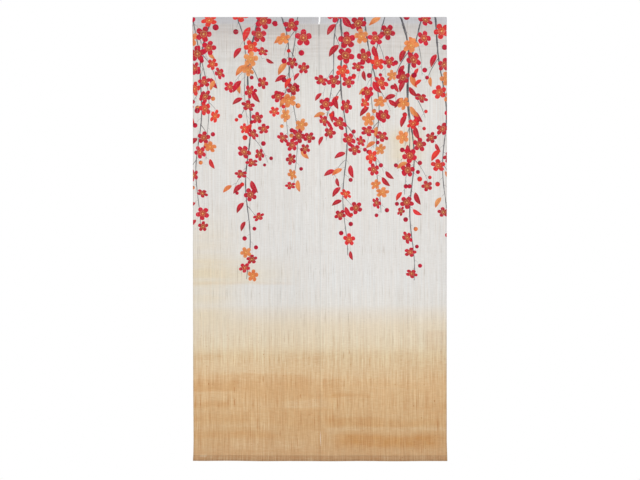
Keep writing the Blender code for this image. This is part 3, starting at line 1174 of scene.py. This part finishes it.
class NorenSettings(bpy.types.PropertyGroup):
    """Sizes and colours of the curtain's cloth, thread and studio."""

    thickness: bpy.props.FloatProperty(
        name="Cloth thickness", description="Thickness of one layer of hemp", default=0.54 * MM, unit="LENGTH"
    )
    cell: bpy.props.FloatProperty(
        name="Mesh spacing", description="Widest step of the cloth's grid", default=4.4 * MM, unit="LENGTH"
    )
    stitch_length: bpy.props.FloatProperty(
        name="Stitch length", description="Length of one stitch", default=3.2 * MM, unit="LENGTH"
    )
    thread_radius: bpy.props.FloatProperty(
        name="Thread radius", description="Radius of the sewing thread", default=0.22 * MM, unit="LENGTH"
    )
    floor_colour: bpy.props.FloatVectorProperty(
        name="Floor", description="Colour of the floor", default=(0.80, 0.79, 0.78), subtype="COLOR", size=3
    )
    distance: bpy.props.FloatProperty(
        name="Camera distance", description="From the camera to the cloth", default=6.0, unit="LENGTH"
    )
    key_power: bpy.props.FloatProperty(
        name="Key light", description="Power of the soft light at the front", default=60.0, unit="POWER"
    )
    back_power: bpy.props.FloatProperty(
        name="Back light", description="Power of the soft light behind", default=30.0, unit="POWER"
    )


def make_floor(colour_of_floor):
    """The pale floor: a disc of triangles, with a faint unevenness in its colour."""
    material = bpy.data.materials.new("studio floor")
    material.use_nodes = True
    recipe = Recipe(material.node_tree)
    body = material.node_tree.nodes["Principled BSDF"]
    x, y, _ = recipe.parts(recipe.node("TexCoord", {}).outputs["Object"])
    speckle = 1 + 0.05 * noise(x / 0.3, y / 0.3)
    recipe.put(body.inputs["Base Color"], tinted((*colour_of_floor, 1), speckle, speckle, speckle))
    recipe.put(body.inputs["Roughness"], 0.8)
    angle = np.linspace(0, math.tau, FLOOR_POINTS, endpoint=False)
    rim = np.stack([FLOOR_RADIUS * np.cos(angle), FLOOR_RADIUS * np.sin(angle), angle * 0 + FLOOR_Z], -1)
    at = np.arange(FLOOR_POINTS)
    triangles = np.stack([at, np.roll(at, -1), at * 0 + FLOOR_POINTS], -1)
    add_mesh("floor", np.concatenate([rim, [(0, 0, FLOOR_Z)]]), [triangles], material)


def make_light(name, spot, power):
    """A soft square light that looks at the curtain's middle."""
    data = bpy.data.lights.new(name, "AREA")
    data.size = LIGHT_SIZE
    data.energy = power
    lamp = bpy.data.objects.new(name, data)
    lamp.location = spot
    x, y, z = np.subtract(LIGHTS_AIM, spot)
    lamp.rotation_euler = (math.atan2(math.hypot(x, y), -z), 0, math.atan2(-x, y))
    lamp.visible_camera = False
    bpy.context.scene.collection.objects.link(lamp)


class NOREN_OT_stage(bpy.types.Operator):
    """Make the pale floor, the soft studio light and the camera"""

    bl_idname = "noren.stage"
    bl_label = "Make stage"

    def execute(self, context):
        settings = context.scene.noren
        world = bpy.data.worlds.new("studio")
        world.use_nodes = True
        world.node_tree.nodes["Background"].inputs["Color"].default_value = (1, 1, 1, 1)
        world.node_tree.nodes["Background"].inputs["Strength"].default_value = 1.0
        context.scene.world = world
        context.scene.view_settings.view_transform = "Standard"
        make_floor(settings.floor_colour)
        make_light("key light", KEY_AT, settings.key_power)
        make_light("back light", BACK_AT, settings.back_power)

        data = bpy.data.cameras.new("camera")
        data.sensor_fit = "HORIZONTAL"
        data.sensor_width = SENSOR
        data.lens = SENSOR * settings.distance / (FRAME_WIDTH * PIXEL)
        camera = bpy.data.objects.new("camera", data)
        across = (FRAME_WIDTH / 2 - MIDDLE_COLUMN) * PIXEL
        camera.location = (across, -settings.distance, -(FRAME_HEIGHT / 2 - TOP_ROW) * PIXEL)
        camera.rotation_euler = (math.pi / 2, 0, 0)
        context.scene.collection.objects.link(camera)
        context.scene.camera = camera
        return {"FINISHED"}


def make_cloth(kind, node, marks, settings):
    """Both widths' sheets of one kind, each made in its solid's place, with the solid hidden."""
    along = stations(marks, settings.cell)
    design = weeping_design()
    for side in SIDES:
        made = cloth_sheet(f"{kind}_cloth_{side}", side, along, hemp(), design, settings)
        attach(made, "root")
        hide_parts(f"{node}_{side}")


class NOREN_OT_sleeves(bpy.types.Operator):
    """Make the two rod sleeves of doubled cloth"""

    bl_idname = "noren.sleeves"
    bl_label = "Make sleeves"

    def execute(self, context):
        length, depth = PATH[:, 0], PATH[:, 1]
        walls = (slice(TOP, FRONT_FOOT + 1), slice(TOP, 0, -1))
        ends = [GAP_END + way * 0.15 * MM for way in (-1, 1)]
        gap_ends = [np.interp(end, depth[wall], length[wall]) for wall in walls for end in ends]
        marks = np.sort(np.concatenate([length[: FRONT_FOOT + 1], gap_ends, [STRIP_DEPTH]]))
        make_cloth("sleeve", "heading", marks, context.scene.noren)
        return {"FINISHED"}


class NOREN_OT_panels(bpy.types.Operator):
    """Make the two panels with their hems"""

    bl_idname = "noren.panels"
    bl_label = "Make panels"

    def execute(self, context):
        marks = np.concatenate([[STRIP_DEPTH, HEIGHT - BOTTOM_HEM], HEM_LENGTHS])
        make_cloth("panel", "panel", marks, context.scene.noren)
        return {"FINISHED"}


class NOREN_OT_stitching(bpy.types.Operator):
    """Make the stitch rows of the sleeves and hems"""

    bl_idname = "noren.stitching"
    bl_label = "Make stitching"

    def execute(self, context):
        settings = context.scene.noren
        out = settings.thickness / 2
        start, end = 0.5 * MM, CLOTH_WIDTH - 0.5 * MM
        behind_top = PATH[BACK_FOOT, 0]
        sleeve = (
            STITCH_DEPTH + 1 * MM,
            STRIP_DEPTH - 2 * MM,
            behind_top - 1 * MM,
            behind_top - (STRIP_DEPTH - STITCH_DEPTH) + 2 * MM,
        )
        bottom = (HEIGHT - BOTTOM_HEM + 1.5 * MM, HEM_LENGTHS[-1] - 1.5 * MM)
        side_hem = ("down", SIDE_HEM - 1.5 * MM, LAP_FROM, HEIGHT - BOTTOM_HEM - 2 * MM)
        rows = {
            "sleeve_stitching": [("across", length, start, end, -out, 1) for length in sleeve],
            "side_hem_stitching": [(*side_hem, -out, 1), (*side_hem, LAYER + out, -1)],
            "bottom_hem_stitching": [("across", length, start, end, -out, 1) for length in bottom],
        }
        for title, lines in rows.items():
            for side in SIDES:
                for number, row in enumerate(lines):
                    centres, surface = stitch_row(side, row, settings)
                    made = stitch_mesh(f"{title}_{side}_{number}", centres, surface, settings, thread())
                    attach(made, "root")
        return {"FINISHED"}


class NOREN_PT_panel(bpy.types.Panel):
    """The curtain's tools in the 3D view's sidebar"""

    bl_idname = "NOREN_PT_panel"
    bl_label = "Noren curtain"
    bl_space_type = "VIEW_3D"
    bl_region_type = "UI"
    bl_category = "Noren"

    def draw(self, context):
        settings = context.scene.noren
        for name in NorenSettings.__annotations__:
            self.layout.prop(settings, name)
        for operator in OPERATORS:
            self.layout.operator(operator.bl_idname)


OPERATORS = (NOREN_OT_stage, NOREN_OT_sleeves, NOREN_OT_panels, NOREN_OT_stitching)
CLASSES = (NorenSettings, *OPERATORS, NOREN_PT_panel)


def register():
    for item in CLASSES:
        bpy.utils.register_class(item)
    bpy.types.Scene.noren = bpy.props.PointerProperty(type=NorenSettings)


def unregister():
    del bpy.types.Scene.noren
    for item in reversed(CLASSES):
        bpy.utils.unregister_class(item)


def main():
    register()
    bpy.ops.noren.stage()
    bpy.ops.noren.sleeves()
    bpy.ops.noren.panels()
    bpy.ops.noren.stitching()
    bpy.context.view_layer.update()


if __name__ == "__main__":
    main()
